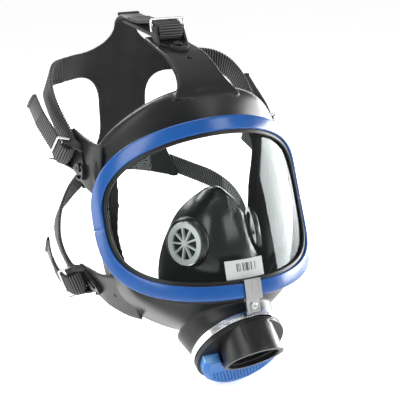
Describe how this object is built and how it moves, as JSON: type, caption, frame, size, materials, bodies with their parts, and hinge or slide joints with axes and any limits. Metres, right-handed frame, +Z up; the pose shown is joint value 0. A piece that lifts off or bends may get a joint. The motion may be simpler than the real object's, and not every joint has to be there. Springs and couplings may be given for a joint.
{
  "type": "full face respirator mask",
  "caption": "Full-face respirator mask with a curved clear visor, blue clamping frame, head harness with buckles, and a threaded filter connector at the chin.",
  "frame": {"origin": "middle of the visor ring: mid-height, on the mid-plane, between its two sides, in the space the wearer's face fills", "axes": "+Z up, -Y the way the wearer looks, +X to the wearer's left; mirror plane X = 0"},
  "size_m": [0.2016, 0.2271, 0.2837],
  "materials": {
    "frame_blue": "gloss blue glass-filled plastic",
    "visor_clear": "clear polycarbonate",
    "rubber_black": "satin black rubber",
    "plastic_black": "satin black plastic",
    "plastic_grey": "light grey plastic",
    "cover_blue": "blue plastic",
    "steel": "bright stainless steel",
    "silicone": "soft silicone rubber",
    "label_white": "white film label, blank"
  },
  "bodies": {
    "facepiece": {"band_clamp": "steel", "bracket_screw": "steel", "buckle_base_forehead": "plastic_black", "buckle_base_jaw_left": "plastic_black", "buckle_base_jaw_right": "plastic_black", "buckle_base_temple_left": "plastic_black", "buckle_base_temple_right": "plastic_black", "buckle_studs": "steel", "centre_bracket": "steel", "connector_housing": "plastic_black", "exhalation_valve_seat": "plastic_black", "face_blank": "rubber_black", "harness_plate": "rubber_black", "inlet_gasket": "silicone", "inlet_valve_seat": "plastic_black", "inner_mask": "rubber_black", "inner_valve_seat_left": "plastic_grey", "inner_valve_seat_right": "plastic_grey", "rating_label": "label_white", "strap_forehead": "rubber_black", "strap_jaw_left": "rubber_black", "strap_jaw_right": "rubber_black", "strap_temple_left": "rubber_black", "strap_temple_right": "rubber_black", "visor": "visor_clear", "visor_frame_lower": "frame_blue", "visor_frame_upper": "frame_blue"},
    "wire_forehead": {"buckle_wire_forehead": "steel"},
    "roller_forehead": {"buckle_roller_forehead": "plastic_black"},
    "wire_temple_left": {"buckle_wire_temple_left": "steel"},
    "roller_temple_left": {"buckle_roller_temple_left": "plastic_black"},
    "wire_temple_right": {"buckle_wire_temple_right": "steel"},
    "roller_temple_right": {"buckle_roller_temple_right": "plastic_black"},
    "wire_jaw_left": {"buckle_wire_jaw_left": "steel"},
    "roller_jaw_left": {"buckle_roller_jaw_left": "plastic_black"},
    "wire_jaw_right": {"buckle_wire_jaw_right": "steel"},
    "roller_jaw_right": {"buckle_roller_jaw_right": "plastic_black"},
    "inlet_valve": {"inlet_valve_disc": "silicone"},
    "exhalation_valve": {"exhalation_valve_disc": "silicone"},
    "inner_valve_left": {"inner_valve_disc_left": "silicone"},
    "inner_valve_right": {"inner_valve_disc_right": "silicone"},
    "exhalation_cover": {"exhalation_cover": "cover_blue"}
  },
  "joints": [
    {"name": "wire_hinge_forehead", "type": "hinge", "parent": "facepiece", "child": "wire_forehead", "pos_m": [0, 0.02206, 0.13018], "axis": [1, 0, 0], "range_deg": [0, 70]},
    {"name": "roller_spin_forehead", "type": "hinge", "parent": "facepiece", "child": "roller_forehead", "pos_m": [0, 0.02206, 0.13018], "axis": [1, 0, 0], "continuous": true},
    {"name": "wire_hinge_temple_left", "type": "hinge", "parent": "facepiece", "child": "wire_temple_left", "pos_m": [-0.091, 0.03137, 0.0431], "axis": [0, -0.76, 0.65], "range_deg": [0, 70]},
    {"name": "roller_spin_temple_left", "type": "hinge", "parent": "facepiece", "child": "roller_temple_left", "pos_m": [-0.091, 0.03137, 0.0431], "axis": [0, -0.76, 0.65], "continuous": true},
    {"name": "wire_hinge_temple_right", "type": "hinge", "parent": "facepiece", "child": "wire_temple_right", "pos_m": [0.091, 0.03137, 0.0431], "axis": [0, 0.76, -0.65], "range_deg": [0, 70]},
    {"name": "roller_spin_temple_right", "type": "hinge", "parent": "facepiece", "child": "roller_temple_right", "pos_m": [0.091, 0.03137, 0.0431], "axis": [0, 0.76, -0.65], "continuous": true},
    {"name": "wire_hinge_jaw_left", "type": "hinge", "parent": "facepiece", "child": "wire_jaw_left", "pos_m": [-0.08392, 0.04565, -0.06622], "axis": [-0.401, -0.3039, 0.8642], "range_deg": [0, 70]},
    {"name": "roller_spin_jaw_left", "type": "hinge", "parent": "facepiece", "child": "roller_jaw_left", "pos_m": [-0.08392, 0.04565, -0.06622], "axis": [-0.401, -0.3039, 0.8642], "continuous": true},
    {"name": "wire_hinge_jaw_right", "type": "hinge", "parent": "facepiece", "child": "wire_jaw_right", "pos_m": [0.08392, 0.04565, -0.06622], "axis": [-0.401, 0.3039, -0.8642], "range_deg": [0, 70]},
    {"name": "roller_spin_jaw_right", "type": "hinge", "parent": "facepiece", "child": "roller_jaw_right", "pos_m": [0.08392, 0.04565, -0.06622], "axis": [-0.401, 0.3039, -0.8642], "continuous": true},
    {"name": "inlet_valve_slide", "type": "slide", "parent": "facepiece", "child": "inlet_valve", "axis": [0, 0.5446, 0.8387], "range_m": [0, 0.0015], "stiffness_N_per_m": 20, "springref_m": -0.0005},
    {"name": "exhalation_valve_slide", "type": "slide", "parent": "facepiece", "child": "exhalation_valve", "axis": [0, -0.766, -0.6428], "range_m": [0, 0.0015], "stiffness_N_per_m": 20, "springref_m": -0.0005},
    {"name": "inner_valve_left_slide", "type": "slide", "parent": "facepiece", "child": "inner_valve_left", "axis": [0.9329, 0.3511, -0.0802], "range_m": [0, 0.001], "stiffness_N_per_m": 20, "springref_m": -0.0005},
    {"name": "inner_valve_right_slide", "type": "slide", "parent": "facepiece", "child": "inner_valve_right", "axis": [-0.9329, 0.3511, -0.0802], "range_m": [0, 0.001], "stiffness_N_per_m": 20, "springref_m": -0.0005},
    {"name": "exhalation_cover_slide", "type": "slide", "parent": "facepiece", "child": "exhalation_cover", "axis": [0, -0.5446, -0.8387], "range_m": [0, 0.008]}
  ]
}
